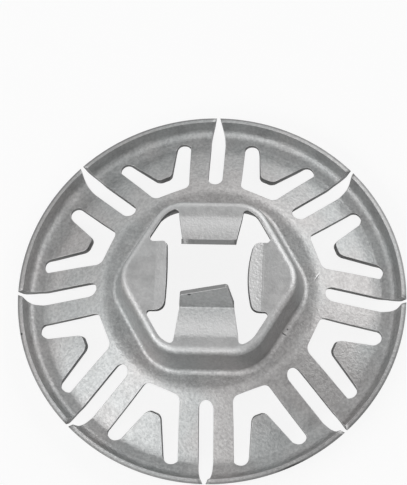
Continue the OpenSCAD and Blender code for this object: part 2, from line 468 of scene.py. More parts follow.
@dataclass(frozen=True)
class Sheet:
    """The stock that the clip is stamped from, in millimetres."""

    thickness: float = 0.5
    bend_r: float = 0.25
    roll: float = 0.045
    burr: float = 0.03


@dataclass(frozen=True)
class Boss:
    """Raised hexagon: its wall is one section carried round six rounded corners.

    Sizes are in millimetres, with apothems measured from the axis to a flat side. The last three say
    how fine the mesh is: the longest stretches along and up the wall, and the degrees between two rows
    of a bend.
    """

    sheet: Sheet
    hub_z: float = 0.0
    across_flats: float = 15.4
    height: float = 3.6
    wall_angle: float = 79.0
    corner_r: float = 3.2
    crown_r: float = 0.28
    foot_r: float = 0.6
    flange: float = 0.7
    column_step: float = 0.21
    row_step: float = 0.45
    bend_step: float = 8.0

    @property
    def crown_z(self) -> float:
        """Height of the boss's flat top."""
        return self.hub_z + self.height

    @property
    def corner_a(self) -> float:
        """Apothem of the hexagon that joins the corners' axes."""
        return self.across_flats / 2 - self.corner_r

    @property
    def axis_r(self) -> float:
        """Distance of a corner's axis from the clip's."""
        return self.corner_a / np.cos(np.radians(30))

    @property
    def well_a(self) -> float:
        """Apothem of the opening's edge."""
        return self.across_flats / 2 - self.flange

    @property
    def well_r(self) -> float:
        """Radius of the opening's corners about their axes."""
        return self.well_a - self.corner_a

    @property
    def foot_a(self) -> float:
        """Apothem of the sharp corner between wall and hub."""
        return self.across_flats / 2 + self.height / np.tan(np.radians(self.wall_angle))

    @property
    def foot_end_r(self) -> float:
        """Radius about a corner's axis at which the foot's bend runs out into the hub."""
        return self.foot_a + self.foot_r * np.tan(np.radians(self.wall_angle / 2)) - self.corner_a

    @property
    def sixth(self) -> float:
        """Length of the opening's edge from one corner's middle to the next."""
        return self.well_r * np.pi / 3 + self.axis_r

    @cached_property
    def section(self) -> BentLine:
        """Draws the wall.

        Returns:
            Its section, as distance from a corner's axis and height.
        """
        points = [[self.well_r, self.crown_z], [self.corner_r, self.crown_z],
                  [self.foot_a - self.corner_a, self.hub_z], [self.foot_end_r + SPARE, self.hub_z]]
        return BentLine(points, [self.crown_r, self.foot_r], self.sheet.thickness, self.bend_step)

    def ring(self, length: Array, radius: Array) -> Array:
        """Points round the hexagon.

        A sixth of the way round is an arc about one corner's axis and then a straight side. On the arc
        the section turns, and on the side it slides along.

        Args:
            length: Length round the opening's edge, from the +X axis to the left.
            radius: Distance from the corners' axes.

        Returns:
            Plane points.
        """
        corner = np.round(length / self.sixth)
        along = length - corner * self.sixth
        arc = np.clip(along, -self.well_r * np.pi / 6, self.well_r * np.pi / 6)
        facing_out = heading(60 * corner + np.degrees(arc / self.well_r))
        base = self.axis_r * heading(60 * corner) + (along - arc)[..., None] * left_of(facing_out)
        return base + radius[..., None] * facing_out

    def columns(self, marks: list[float]) -> Array:
        """Places the wall's columns, one way round from the first mark.

        Args:
            marks: Rising lengths round the hexagon that all have a column. The last one is the first,
                one way round further on.

        Returns:
            The lengths of all columns.
        """
        reach = self.well_r * np.pi / 6
        bends = np.concatenate([k * self.sixth + np.array([-reach, 0, reach]) for k in range(-1, 7)])
        inside = bends[(bends > marks[0]) & (bends < marks[-1])]
        return divided(np.unique(np.round(np.concatenate([marks, inside]), DIGITS)), self.column_step)

    def build(self, shell: Shell, length: Array) -> Array:
        """Adds the flange, wall and foot.

        Args:
            shell: Skin that takes the panels.
            length: Lengths round the hexagon of the wall's columns, which close on themselves.

        Returns:
            The plane points at which the foot ends on the hub.
        """
        section = self.section
        end = float(section.length_at(self.foot_end_r))
        rows = divided(np.append(section.length[section.length < end - TINY], end), self.row_step)
        panels = []
        for face in section.faces(rows):
            place, height = face[:, :1] + 0 * length, face[:, 1:] + 0 * length
            panels.append(np.concatenate([self.ring(length + 0 * place, place), height[..., None]], axis=-1))
        shell.panel(*panels)
        return panels[0][-1, :, :2]


class Side(Enum):
    """Side of the boss that a flap stands on, as quarter turns to the left from +X."""

    EAST = 0
    NORTH = 1
    WEST = 2
    SOUTH = 3

    @property
    def out(self) -> Array:
        """Plane unit vector from the axis to the side."""
        return np.round(heading(90.0 * self.value))


@dataclass(frozen=True)
class Flap(ABC):
    """Part of the boss's top that runs in from the opening's edge and turns up, in millimetres.

    It is laid out by the place across it, to the left as seen from the axis, and the length along its
    section, which runs in towards the axis. A place on the section is the distance from the axis with
    a minus sign. The class values are the mesh steps of a fillet and the degrees of one step of a bend.
    """

    FILLET_STEPS: ClassVar[int] = 12
    BEND_STEP: ClassVar[float] = 5.0

    sheet: Sheet
    boss: Boss
    side: Side

    @property
    @abstractmethod
    def section(self) -> BentLine:
        """Section along the flap, as place and height."""

    @property
    @abstractmethod
    def fillet(self) -> Array:
        """Arc in the notch's corner, as place across the flap and distance from the axis."""

    @property
    @abstractmethod
    def half_root(self) -> float:
        """Length of the opening's edge from the middle of the flap's root to the fillet."""

    @property
    @abstractmethod
    def rows(self) -> Array:
        """Lengths of the rows between the root and the tip."""

    @abstractmethod
    def half_width(self, place: Array) -> Array:
        """Half the flap's width over the given places on the section."""

    @abstractmethod
    def tip(self, near: Array) -> Array:
        """Lays out the part that has a free edge.

        Args:
            near: The last row before it.

        Returns:
            A grid of places across the flap and lengths.
        """

    def bent(self, grid: Array) -> tuple[Array, Array]:
        """Bends a flat grid up along the section and turns it to its side.

        Args:
            grid: Places across the flap and lengths.

        Returns:
            The upper and the lower points.
        """
        out = self.side.out
        faces = [np.append(grid[..., :1] * left_of(out) - line[..., :1] * out, line[..., 1:], axis=-1)
                 for line in self.section.faces(grid[..., 1])]
        return faces[0], faces[1]

    def build(self, shell: Shell, root: Array) -> None:
        """Adds the root with its fillets, the middle and the tip.

        Args:
            shell: Skin that takes the panels.
            root: Plane points of the opening's edge along the flap, to the left round the axis.
        """
        section, rows, out = self.section, self.rows, self.side.out
        near = np.stack([root @ left_of(out), section.length_at(-root @ out)], axis=1)
        fillet = np.stack([self.fillet[:, 0], section.length_at(-self.fillet[:, 1])], axis=1)
        near[[0, -1]] = [fillet[0] * [-1, 1], fillet[0]]
        share = 2 * shares(near) - 1
        width = self.half_width(section.faces(rows)[0][:, 0])
        middle = np.stack([width[:, None] * share, rows[:, None] + 0 * share], axis=-1)
        right = np.append(fillet, middle[:1, -1], axis=0)
        far = join(right * [-1, 1], middle[0], right[::-1])
        shell.mesh(*self.bent(np.concatenate([near, far])), zipped(near, far))
        shell.grid(*self.bent(middle))
        shell.grid(*self.bent(self.tip(middle[-1])))


@dataclass(frozen=True)
class Tongue(Flap):
    """One of the two tongues that rise over the opening and bite the stud."""

    tip_left: float = 2.5
    tip_right: float = 2.5
    gap: float = 4.3
    root_w: float = 6.4
    bend_w: float = 5.2
    rise: float = 0.8
    root_flat: float = 0.85
    root_bend_r: float = 1.2
    tip_angle: float = 69.0
    tip_length: float = 2.4
    tip_slant: float = 15.0
    tip_corner_r: float = 0.25
    fillet_r: float = 0.35
    fillet_clear: float = 0.04
    bend_reach: float = 0.4
    row_step: float = 0.3
    row_gap: float = 0.05
    side_steps: int = 14

    @property
    def bend_y(self) -> float:
        """Distance of the upper bend from the axis."""
        lean = np.radians(self.tip_angle)
        return self.gap / 2 + self.tip_length * np.cos(lean) + self.sheet.thickness * np.sin(lean)

    @cached_property
    def section(self) -> BentLine:
        """Draws the tongue.

        Returns:
            Its section through the root, the rising middle and the tip.
        """
        bend = np.array([-self.bend_y, self.boss.crown_z + self.rise])
        root = -self.boss.well_a
        points = [[root - SPARE, self.boss.crown_z], [root + self.root_flat, self.boss.crown_z], bend,
                  bend + 2 * self.tip_length * heading(self.tip_angle)]
        return BentLine(points, [self.root_bend_r, self.sheet.bend_r], self.sheet.thickness, self.BEND_STEP)

    @cached_property
    def fillet(self) -> Array:
        """Rounds the notch's corner, between the opening's round corner and the tongue's side.

        The arc's centre lies its own radius away from the side line, and that much inside the arc of
        the opening's corner, so the place along the side line solves a quadratic.

        Returns:
            An arc tangent to both.
        """
        side_foot = np.array([self.root_w / 2, self.boss.well_a])
        run = unit(np.array([self.bend_w / 2, self.bend_y]) - side_foot)
        axis = self.boss.axis_r * heading(60)
        start = side_foot + self.fillet_r * left_of(run) - axis
        reach = self.boss.well_r - self.fillet_r
        half = start @ run
        centre = axis + start + run * (-half - np.sqrt(half ** 2 - start @ start + reach ** 2))
        first = np.degrees(np.arctan2(*(centre - axis)[::-1]))
        last = np.degrees(np.arctan2(*(-left_of(run))[::-1]))
        turn = np.linspace(0, (last - first) % 360, self.FILLET_STEPS + 1)
        return centre + self.fillet_r * heading(first + turn)

    @property
    def half_root(self) -> float:
        """Length of the opening's edge from the middle of a side to the fillet in its round corner."""
        reach = self.fillet[0] - self.boss.axis_r * heading(60)
        return self.boss.axis_r / 2 + self.boss.well_r * (np.pi / 2 - np.arctan2(reach[1], reach[0]))

    @property
    def rows(self) -> Array:
        """Places the rows between the fillets' ends and a little beyond the upper bend.

        Returns:
            Their lengths.
        """
        length = self.section.length
        first = float(self.section.length_at(-self.fillet[-1, 1] + self.fillet_clear))
        last = self.section.bends[-1] + self.bend_reach
        inside = length[(length > first + self.row_gap) & (length < last - self.row_gap)]
        return divided(np.concatenate([[first], inside, [last]]), self.row_step)

    def half_width(self, place: Array) -> Array:
        """Half the width, which falls evenly from the root to the upper bend."""
        return np.interp(place, [-self.boss.well_a, -self.bend_y], [self.root_w / 2, self.bend_w / 2])

    def tip(self, near: Array) -> Array:
        """Lays out the tip, whose trimmed sides end in round corners at a slanted edge.

        Args:
            near: The last row before it.

        Returns:
            A grid of places across the tongue and lengths.
        """
        slant = np.tan(np.radians(self.tip_slant))
        end = self.section.bends[-1] + self.tip_length
        right = np.array([self.tip_right, end + self.tip_right * slant])
        left = np.array([-self.tip_left, end - self.tip_left * slant])
        corner_r = rounded(near[-1], right, left, self.tip_corner_r)
        corner_l = rounded(near[0], left, right, self.tip_corner_r)
        half = len(corner_r) // 2
        side_r = spaced(np.append(near[-1:], corner_r[:half + 1], axis=0), self.side_steps)
        side_l = spaced(np.append(near[:1], corner_l[:half + 1], axis=0), self.side_steps)
        edge = np.append(corner_l[half:], corner_r[:half - 1:-1], axis=0)
        return filled(near, spaced(edge, len(near) - 1), side_l, side_r)


@dataclass(frozen=True)
class Lobe(Flap):
    """Side lobe of the boss's top, whose inner part turns up towards the stud."""

    edge_x: float = 3.75
    bulge: float = 0.8
    width: float = 7.05
    corner_r: tuple[float, float] = (0.8, 0.8)
    bend_x: float = 5.15
    rise_angle: float = 14.0
    run_in: float = 4.0
    run_out: float = 3.0
    fillet_r: float = 0.35
    bend_reach: float = 0.07
    row_gap: float = 0.01
    bow_steps: int = 40
    side_steps: int = 10

    @cached_property
    def section(self) -> BentLine:
        """Draws the lobe.

        Returns:
            Its section through the flat outer part and the part that turns up.
        """
        bend = np.array([-self.bend_x, self.boss.crown_z])
        points = [bend - [self.run_in, 0], bend, bend + self.run_out * heading(self.rise_angle)]
        return BentLine(points, [self.sheet.bend_r], self.sheet.thickness, self.BEND_STEP)

    @cached_property
    def fillet(self) -> Array:
        """Rounds the notch's corner, between the opening's slanted side and the lobe's side.

        Returns:
            An arc tangent to both.
        """
        y = self.width / 2
        corner = np.array([(self.boss.well_a - y / 2) / np.cos(np.radians(30)), y])
        arc = rounded(corner + heading(120), corner, corner - [1, 0], self.fillet_r, self.FILLET_STEPS)
        return arc[:, ::-1]

    @property
    def half_root(self) -> float:
        """Length of the opening's edge from the middle of a round corner to the fillet."""
        start = self.boss.axis_r * heading(0) + self.boss.well_r * heading(30)
        return self.boss.well_r * np.pi / 6 + float(np.linalg.norm(self.fillet[0, ::-1] - start))

    @property
    def rows(self) -> Array:
        """Places the rows of the bend.

        Returns:
            Their lengths.
        """
        length, bend = self.section.length, self.section.bends[-1]
        inside = length[np.abs(length - bend) < self.bend_reach - self.row_gap]
        return np.concatenate([[bend - self.bend_reach], inside, [bend + self.bend_reach]])

    def half_width(self, place: Array) -> Array:
        """Half the width, the same everywhere."""
        return np.full_like(place, self.width / 2)

    def tip(self, near: Array) -> Array:
        """Lays out the part that turns up, with round corners and an edge that bulges.

        Args:
            near: The last row before it.

        Returns:
            A grid of places across the lobe and lengths.
        """
        half = self.width / 2
        rise = np.radians(self.rise_angle)
        edge = (self.bend_x - self.edge_x - self.sheet.thickness * np.sin(rise)) / np.cos(rise)
        bow_y = half - max(self.corner_r)
        peak = np.array([0, self.section.bends[-1] + edge + self.bulge * bow_y / (2 * half)])
        end = np.array([half, peak[1] - self.bulge])
        bow = rounded(end * [-1, 1], peak, end, bow_y * half / self.bulge, self.bow_steps)
        corner_l = rounded(near[0], end * [-1, 1], peak, self.corner_r[0])
        corner_r = rounded(near[-1], end, peak, self.corner_r[1])
        middle = len(corner_l) // 2
        rim = np.concatenate([corner_l[middle:], bow, corner_r[:middle - 1:-1]])
        left, right = [spaced(np.append(start, corner[:middle + 1], axis=0), self.side_steps)
                       for start, corner in ((near[:1], corner_l), (near[-1:], corner_r))]
        return filled(near, spaced(rim, len(near) - 1), left, right)


@dataclass(frozen=True)
class SlotLines:
    """Plane outlines of the slots in half a slot pitch.

    Attributes:
        root: Foot of the V slot's base on the tab's middle line.
        blunt: End of the tab on its middle line.
        base_arc: Corner of the V slot's base, from the base to the arm's outer side.
        outer_arc: Outer corner of the arm's end.
        inner_arc: Inner corner of the arm's end.
        tab_arc: Corner of the tab, from its end to its side.
        slot_arc: End of the radial slot, from its side to its middle line.
        far: The point of the arm that is farthest from the axis.
    """

    root: Array
    blunt: Array
    base_arc: Array
    outer_arc: Array
    inner_arc: Array
    tab_arc: Array
    slot_arc: Array
    far: Array


@dataclass(frozen=True)
class Brim:
    """Sprung brim with its slots, the seat ring and the upturned lip, in millimetres.

    It is laid out for half a slot pitch, from the middle of a spring tab on the +X axis to the middle
    of a radial slot, and then mirrored and turned round the axis. The metal between an arm of the V slot
    and the radial slot is called a leaf. The class values are numbers of mesh steps: on half of a large
    and of a tab's round corner, on the outer and the inner corner of the arm's end, across a tab or a
    leaf, along the V slot's base, along the sides of a leaf and of a tab, and the rows beside the arm's
    end, at the hub's edge and in the hub's collar.
    """

    CORNER: ClassVar[int] = 6
    TAB_CORNER: ClassVar[int] = 5
    END_OUTER: ClassVar[int] = 24
    END_INNER: ClassVar[int] = 48
    ACROSS: ClassVar[int] = 8
    BASE: ClassVar[int] = 5
    LEAF_SIDE: ClassVar[int] = 18
    TAB_SIDE: ClassVar[int] = 12
    END_ROWS: ClassVar[int] = 14
    HUB_ROWS: ClassVar[int] = 6
    COLLAR_ROWS: ClassVar[int] = 7

    sheet: Sheet
    hub_edge_r: float
    rim_d: float = 38.0
    lip_h: float = 1.85
    lip_angle: float = 69.0
    lip_bend_r: float = 1.0
    seat_bend_r: float = 1.0
    seat_w: float = 1.44
    slope: float = 31.0
    hub_bend_r: float = 1.6
    slot_count: int = 8
    slot_w: float = 1.4
    slot_mouth: float = 0.3
    slot_land: float = 0.75
    slot_taper: float = 2.2
    arm_w: float = 1.34
    arm_taper: float = 2.5
    arm_r: float = 0.65
    throat: float = 2.0
    span: float = 0.592
    base: float = 0.414
    lead: float = 0.2
    corner_r: float = 0.76
    tab_w: float = 1.36
    tab_r: float = 0.69
    inner_lap: float = 0.1
    end_gap: float = 0.05
    circle_gap: float = 0.15
    rim_gap: float = 0.1
    rim_step: float = 0.35
    bend_step: float = 4.5

    @property
    def hub_r(self) -> float:
        """Radius of the sharp corner between hub and brim."""
        return self.hub_edge_r + (self.hub_bend_r + self.sheet.thickness) * np.tan(np.radians(self.slope / 2))

    @property
    def lip_foot_r(self) -> float:
        """Radius of the sharp corner between seat ring and lip."""
        lean, thickness = np.radians(self.lip_angle), self.sheet.thickness
        return self.rim_d / 2 - (self.lip_h - thickness) / np.tan(lean) - thickness / np.sin(lean)

    @property
    def seat_r(self) -> float:
        """Radius of the sharp corner between brim and seat ring."""
        return self.lip_foot_r - self.seat_w

    @property
    def hub_z(self) -> float:
        """Height of the hub's upper face above the panel."""
        return self.sheet.thickness + (self.seat_r - self.hub_r) * np.tan(np.radians(self.slope))

    @property
    def half_pitch(self) -> float:
        """Half the angle between two radial slots, in radians."""
        return np.pi / self.slot_count

    @cached_property
    def section(self) -> BentLine:
        """Draws the sheet from the hub to the lip's edge.

        Returns:
            Its section, as radius and height.
        """
        lean, thickness = np.radians(self.lip_angle), self.sheet.thickness
        foot = np.array([self.lip_foot_r, thickness])
        reach = (self.lip_h - thickness + thickness * np.cos(lean)) / np.sin(lean)
        points = [[self.hub_edge_r - SPARE, self.hub_z], [self.hub_r, self.hub_z], [self.seat_r, thickness],
                  foot, foot + reach * heading(self.lip_angle)]
        return BentLine(points, [self.hub_bend_r, self.seat_bend_r, self.lip_bend_r], thickness,
                        self.bend_step)

    def slot_angle(self, radius: Array) -> Array:
        """Angle of a radial slot's edge, whose half-width falls off as a power through the rim.

        Args:
            radius: Distances from the axis.

        Returns:
            The angles in radians.
        """
        share = np.clip((radius - self.seat_r) / (self.rim_d / 2 - self.seat_r), 0, 1)
        half = self.slot_w / 2 - (self.slot_w - self.slot_mouth) / 2 * share ** self.slot_taper
        return self.half_pitch - np.arcsin(half / radius)

    def lifted(self, grid: Array) -> tuple[Array, Array]:
        """Upper and lower points of a grid of plane points, which face one another across the sheet.

        The punched edges stand square to the sloping sheet. So near the hub a plane point is the upper
        point's place, from the tabs' ends outwards it is the lower point's, and in between it passes
        over from one to the other.

        Args:
            grid: Plane points.

        Returns:
            The upper and the lower grid.
        """
        section = self.section
        radius = np.hypot(grid[..., 0], grid[..., 1])
        lean = self.sheet.thickness * np.interp(radius, section.upper[:, 0], section.normal[:, 0])
        share = np.clip((radius - self.hub_r - self.slot_land) / self.throat, 0, 1)
        faces = []
        for line, shift in ((section.upper, share * lean), (section.lower, (share - 1) * lean)):
            place = radius + shift
            height = np.interp(place, line[:, 0], line[:, 1])
            faces.append(np.concatenate([grid * (place / radius)[..., None], height[..., None]], axis=-1))
        return faces[0], faces[1]

    def slot_lines(self) -> SlotLines:
        """Draws the slots.

        Returns:
            Their outlines in half a slot pitch.
        """
        in_r = self.hub_r + self.slot_land
        v_r = in_r - self.lead
        base = np.array([v_r, v_r * np.tan(self.base * self.half_pitch)])
        arm_x = self.seat_r - self.inner_lap
        arm = np.array([arm_x, arm_x * np.tan(self.span * self.half_pitch)])
        lean = np.degrees(np.arctan2(*(arm - base)[::-1])) + self.arm_taper
        inner = arm - self.arm_w * left_of(heading(lean))
        tab = np.array([v_r + self.throat, self.tab_w / 2])
        root, blunt = np.array([v_r, 0.0]), np.array([tab[0], 0.0])
        across, along = unit(arm - inner), unit(tab - inner)
        centre = inner + self.arm_r * (across + along) / np.abs(left_of(across) @ along)
        middle = np.degrees(self.half_pitch)
        quarter = np.linspace(-90, -180, 2 * self.CORNER + 1)
        return SlotLines(
            root=root, blunt=blunt,
            base_arc=rounded(root, base, arm, self.corner_r, 2 * self.CORNER),
            outer_arc=rounded(base, arm, inner, self.arm_r, self.END_OUTER),
            inner_arc=rounded(arm, inner, tab, self.arm_r, self.END_INNER),
            tab_arc=rounded(blunt, tab, inner, self.tab_r, 2 * self.TAB_CORNER),
            slot_arc=(in_r + self.slot_w / 2) * heading(middle) + self.slot_w / 2 * heading(middle + quarter),
            far=centre + self.arm_r * unit(centre))

    def half_panels(self) -> list[tuple[Array, Array]]:
        """Panels of half a slot pitch.

        Returns:
            Pairs of upper and lower grids, rows going out and columns going to the left.
        """
        line = self.slot_lines()
        base_arc, tab_arc, slot_arc = line.base_arc, line.tab_arc, line.slot_arc
        top = int(np.argmax(polar(line.inner_arc)[:, 0]))
        outside = polar(np.concatenate([base_arc[-1:], line.outer_arc, line.inner_arc[:top], line.far[None]]))
        inside = polar(np.concatenate([line.far[None], line.inner_arc[top + 1:], tab_arc[-1:]]))[::-1]
        first_r = float(polar(line.outer_arc[:1])[0, 0]) - self.end_gap
        end_share = 1 - (1 - np.linspace(0, 1, self.END_ROWS + 1)) ** 2
        rows = first_r + (inside[-1, 0] - first_r) * end_share
        tab_edge, leaf_edge, slot_edge = [angle[:, None] for angle in (
            np.interp(rows, inside[:, 0], inside[:, 1]), np.interp(rows, outside[:, 0], outside[:, 1]),
            self.slot_angle(rows))]
        share = np.linspace(0, 1, self.ACROSS + 1)
        tab_angles, leaf_angles = tab_edge * share, leaf_edge + (slot_edge - leaf_edge) * share
        tab_end, leaf_end = plane(rows[:, None], tab_angles), plane(rows[:, None], leaf_angles)

        half, turn = self.CORNER, self.TAB_CORNER
        rung = straight(base_arc[half], slot_arc[half], self.ACROSS)
        leaf_left = join(base_arc[half:], straight(base_arc[-1], leaf_end[0, 0], self.LEAF_SIDE))
        leaf_right = join(slot_arc[half::-1], straight(slot_arc[0], leaf_end[0, -1], self.LEAF_SIDE))
        tab_front = join(straight(line.blunt, tab_arc[0], self.ACROSS - turn), tab_arc[:turn + 1])
        tab_right = join(tab_arc[turn:], straight(tab_arc[-1], tab_end[0, -1], self.TAB_SIDE))
        tab_left = at_shares(np.stack([line.blunt, tab_end[0, 0]]), shares(tab_right))

        base = straight(line.root, base_arc[0], self.BASE)
        hub_far = join(base, base_arc[:half + 1], rung, slot_arc[half:])
        angles = polar(hub_far)[:, 1]
        circle_r = self.hub_r + self.circle_gap
        hub_share = np.linspace(0, 1, self.HUB_ROWS + 1)[:, None, None]
        hub = (1 - hub_share) * plane(circle_r + 0 * angles, angles) + hub_share * hub_far
        radii = np.linspace(self.hub_edge_r - self.inner_lap, circle_r, self.COLLAR_ROWS + 1)[:, None]
        collar = plane(radii + 0 * angles, angles + 0 * radii)
        plans = [collar, hub, filled(rung, leaf_end[0], leaf_left, leaf_right),
                 filled(tab_front, tab_end[0], tab_left, tab_right), leaf_end, tab_end]
        rim = self.rim(rows[-1], np.append(tab_angles[-1], leaf_angles[-1, 1:]))
        return [self.lifted(grid) for grid in plans] + [rim]

    def rim(self, first_r: float, angles: Array) -> tuple[Array, Array]:
        """Seat ring and lip beyond the arms of the V slots.

        Args:
            first_r: Radius of the first row.
            angles: Angles of its points, from the middle of a tab to the slot's edge.

        Returns:
            The upper and the lower grid.
        """
        section = self.section
        first = float(section.length_at(first_r))
        knots = section.length[section.length > first + self.rim_gap]
        share = angles / angles[-1]
        faces = []
        for line in section.faces(divided(np.append(first, knots), self.rim_step)):
            grid = plane(line[:, :1], self.slot_angle(line[:, 0])[:, None] * share)
            faces.append(np.concatenate([grid, line[:, 1:, None] + 0 * grid[..., :1]], axis=-1))
        return faces[0], faces[1]

    def build(self, shell: Shell) -> Array:
        """Adds the brim all round.

        Args:
            shell: Skin that takes the panels.

        Returns:
            The plane points of its inner edge, to the left from the first slot.
        """
        edge = []
        flip = np.array([1, -1, 1])
        for upper, lower in self.half_panels():
            for k in range(self.slot_count):
                angle = np.pi / 2 + (2 * k + 1) * self.half_pitch
                cos, sin = np.cos(angle), np.sin(angle)
                turn = np.array([[cos, sin, 0], [-sin, cos, 0], [0, 0, 1]])
                for one, other in ((upper, lower), ((upper * flip)[:, ::-1], (lower * flip)[:, ::-1])):
                    shell.panel(one @ turn, other @ turn)
                    if len(edge) < 2 * self.slot_count:
                        edge.append((one @ turn)[0, :, :2])
        points = np.concatenate(edge)
        angles = np.round(polar(points)[:, 1], DIGITS) % (2 * np.pi)
        return points[np.unique(angles, return_index=True)[1]]


def zip_ring(shell: Shell, inner: Array, outer: Array, upper_z: float, lower_z: float) -> None:
    """Fills the flat hub between two closed lines with triangles.

    Both lines run to the left. Each stretch of one line is joined to the point that the other line has
    reached by the angle at which the stretch ends.

    Args:
        shell: Skin that takes the triangles.
        inner: Plane points of the inner line, without a doubled end.
        outer: Plane points of the outer line, without a doubled end.
        upper_z: Height of the upper face.
        lower_z: Height of the lower face.
    """
    turn = 2 * np.pi
    rings = []
    for ring in (inner, outer):
        angle = np.round(polar(ring)[:, 1], DIGITS) % turn
        order = np.argsort(angle)
        rings.append((ring[order], np.append(angle[order][1:], angle[order][0] + turn)))
    (a, a_end), (b, b_end) = rings
    n, m = len(a), len(b)
    i, j = np.arange(n), np.arange(m)
    b_at = np.searchsorted(b_end, a_end, side="left") % m
    a_at = np.searchsorted(a_end, b_end, side="right") % n
    faces = np.concatenate([np.stack([i, n + b_at, (i + 1) % n], axis=1),
                            np.stack([a_at, n + j, n + (j + 1) % m], axis=1)])
    points = np.concatenate([a, b])
    upper, lower = [np.column_stack([points, np.full(n + m, z)]) for z in (upper_z, lower_z)]
    shell.mesh(upper, lower, faces)


@dataclass(frozen=True)
class Ramp:
    """Straight change of an output while its input runs from low to high, level beyond both."""

    low: float
    high: float
    first: float = 0.0
    last: float = 1.0


@dataclass(frozen=True)
class Grain:
    """One size of noise, with the height that it adds to the surface, in metres."""

    size: float
    height: float = 0.0
    detail: float = 2.0
    roughness: float = 0.5


class Nodes:
    """Short hand for building a material's node tree."""

    def __init__(self, name: str) -> None:
        """Makes a material with an empty tree.

        Args:
            name: Name of the material.
        """
        self.material = bpy.data.materials.new(name)
        self.material.use_nodes = True
        self.tree = self.material.node_tree
        self.tree.nodes.clear()

    def add(self, kind: str, **values: object) -> bpy.types.Node:
        """Adds a node and sets it up.

        Args:
            kind: The node's type, as Blender names it.
            values: Properties of the node, or inputs by name with underscores for spaces, each as a plain
                value or as the output socket that feeds it.

        Returns:
            The node.
        """
        node = self.tree.nodes.new(kind)
        for name, value in values.items():
            if hasattr(node, name) and name not in node.inputs:
                setattr(node, name, value)
            else:
                self.feed(node.inputs[name.replace("_", " ")], value)
        return node

    def feed(self, socket: Socket, value: object) -> None:
        """Links an output into a socket, or sets the socket to a plain value.

        Args:
            socket: The input.
            value: An output socket or a plain value.
        """
        if isinstance(value, bpy.types.NodeSocket):
            self.tree.links.new(value, socket)
        else:
            socket.default_value = value

    def math(self, operation: str, a: object, b: object = 0.0) -> Socket:
        """Adds a Math node.

        Args:
            operation: What it does, as Blender names it.
            a: First operand.
            b: Second operand.

        Returns:
            The result.
        """
        node = self.add("ShaderNodeMath", operation=operation)
        self.feed(node.inputs[0], a)
        self.feed(node.inputs[1], b)
        return node.outputs[0]

    def times(self, *factors: object) -> Socket:
        """Multiplies factors.

        Args:
            factors: Two or more sockets or numbers.

        Returns:
            The product.
        """
        product = factors[0]
        for factor in factors[1:]:
            product = self.math("MULTIPLY", product, factor)
        return product

    def rest(self, share: Socket) -> Socket:
        """What a share leaves of one."""
        return self.math("SUBTRACT", 1.0, share)

    def apart(self, value: object, middle: float) -> Socket:
        """Distance of a value from a middle."""
        return self.math("ABSOLUTE", self.math("SUBTRACT", value, middle))

    def mix(self, share: object, a: object, b: object) -> Socket:
        """Blends two colours.

        Args:
            share: Share of the second colour, from 0 to 1.
            a: First colour.
            b: Second colour.

        Returns:
            The blend.
        """
        node = self.add("ShaderNodeMix", data_type="RGBA")
        self.feed(node.inputs["Factor"], share)
        first, second = [socket for socket in node.inputs if socket.type == "RGBA"]
        self.feed(first, a)
        self.feed(second, b)
        return next(socket for socket in node.outputs if socket.type == "RGBA")

    def ramp(self, value: object, ramp: Ramp) -> Socket:
        """Value sent through a ramp."""
        return self.add("ShaderNodeMapRange", Value=value, From_Min=ramp.low, From_Max=ramp.high,
                        To_Min=ramp.first, To_Max=ramp.last).outputs[0]

    def noise(self, place: Socket, grain: Grain) -> Socket:
        """Noise from 0 to 1 whose lumps are about as wide as the grain's size."""
        return self.add("ShaderNodeTexNoise", Vector=place, Scale=0.5 / grain.size, Detail=grain.detail,
                        Roughness=grain.roughness).outputs[0]

    def attribute(self, name: str) -> Socket:
        """Value of one of the mesh's own attributes."""
        return self.add("ShaderNodeAttribute", attribute_name=name).outputs["Fac"]

    def length(self, vector: Socket) -> Socket:
        """Length of a vector."""
        return self.add("ShaderNodeVectorMath", operation="LENGTH", Vector=vector).outputs["Value"]


def grey(level: float) -> Colour:
    """A colour without tint."""
    return (level, level, level, 1.0)


@dataclass(frozen=True)
class Mark:
    """One small spot of colour, an ellipsoid in millimetres round a place on the sheet; most are marks in the
    plating, a few are painted shade and painted highlight.
    """

    place: tuple[float, float, float]
    reach: tuple[float, float, float]
    turn: float
    tone: float


@dataclass(frozen=True)
class Reading:
    """Sockets that tell where a point of the sheet is and how the sheet lies there.

    Attributes:
        place: The point itself, and its parts to the east (+X), to the north (+Y) and up follow.
        radius: Its distance from the axis.
        cut: 1 on a cut face, one half on its rounded edges and 0 on the sheet's own faces.
        depth: 0 at the upper and 1 at the lower face.
        steep: 0 where the sheet lies flat and 1 where it stands upright.
    """

    place: Socket
    east: Socket
    north: Socket
    high: Socket
    radius: Socket
    cut: Socket
    depth: Socket
    steep: Socket

    @staticmethod
    def of(nodes: Nodes) -> Reading:
        """Adds the nodes that read the sheet.

        Args:
            nodes: The material's nodes.

        Returns:
            Their outputs.
        """
        place = nodes.add("ShaderNodeTexCoord").outputs["Object"]
        east, north, high = nodes.add("ShaderNodeSeparateXYZ", Vector=place).outputs
        flat = nodes.add("ShaderNodeCombineXYZ", X=east, Y=north).outputs[0]
        return Reading(place, east, north, high, nodes.length(flat), nodes.attribute("cut"),
                       nodes.attribute("depth"), nodes.attribute("steep"))


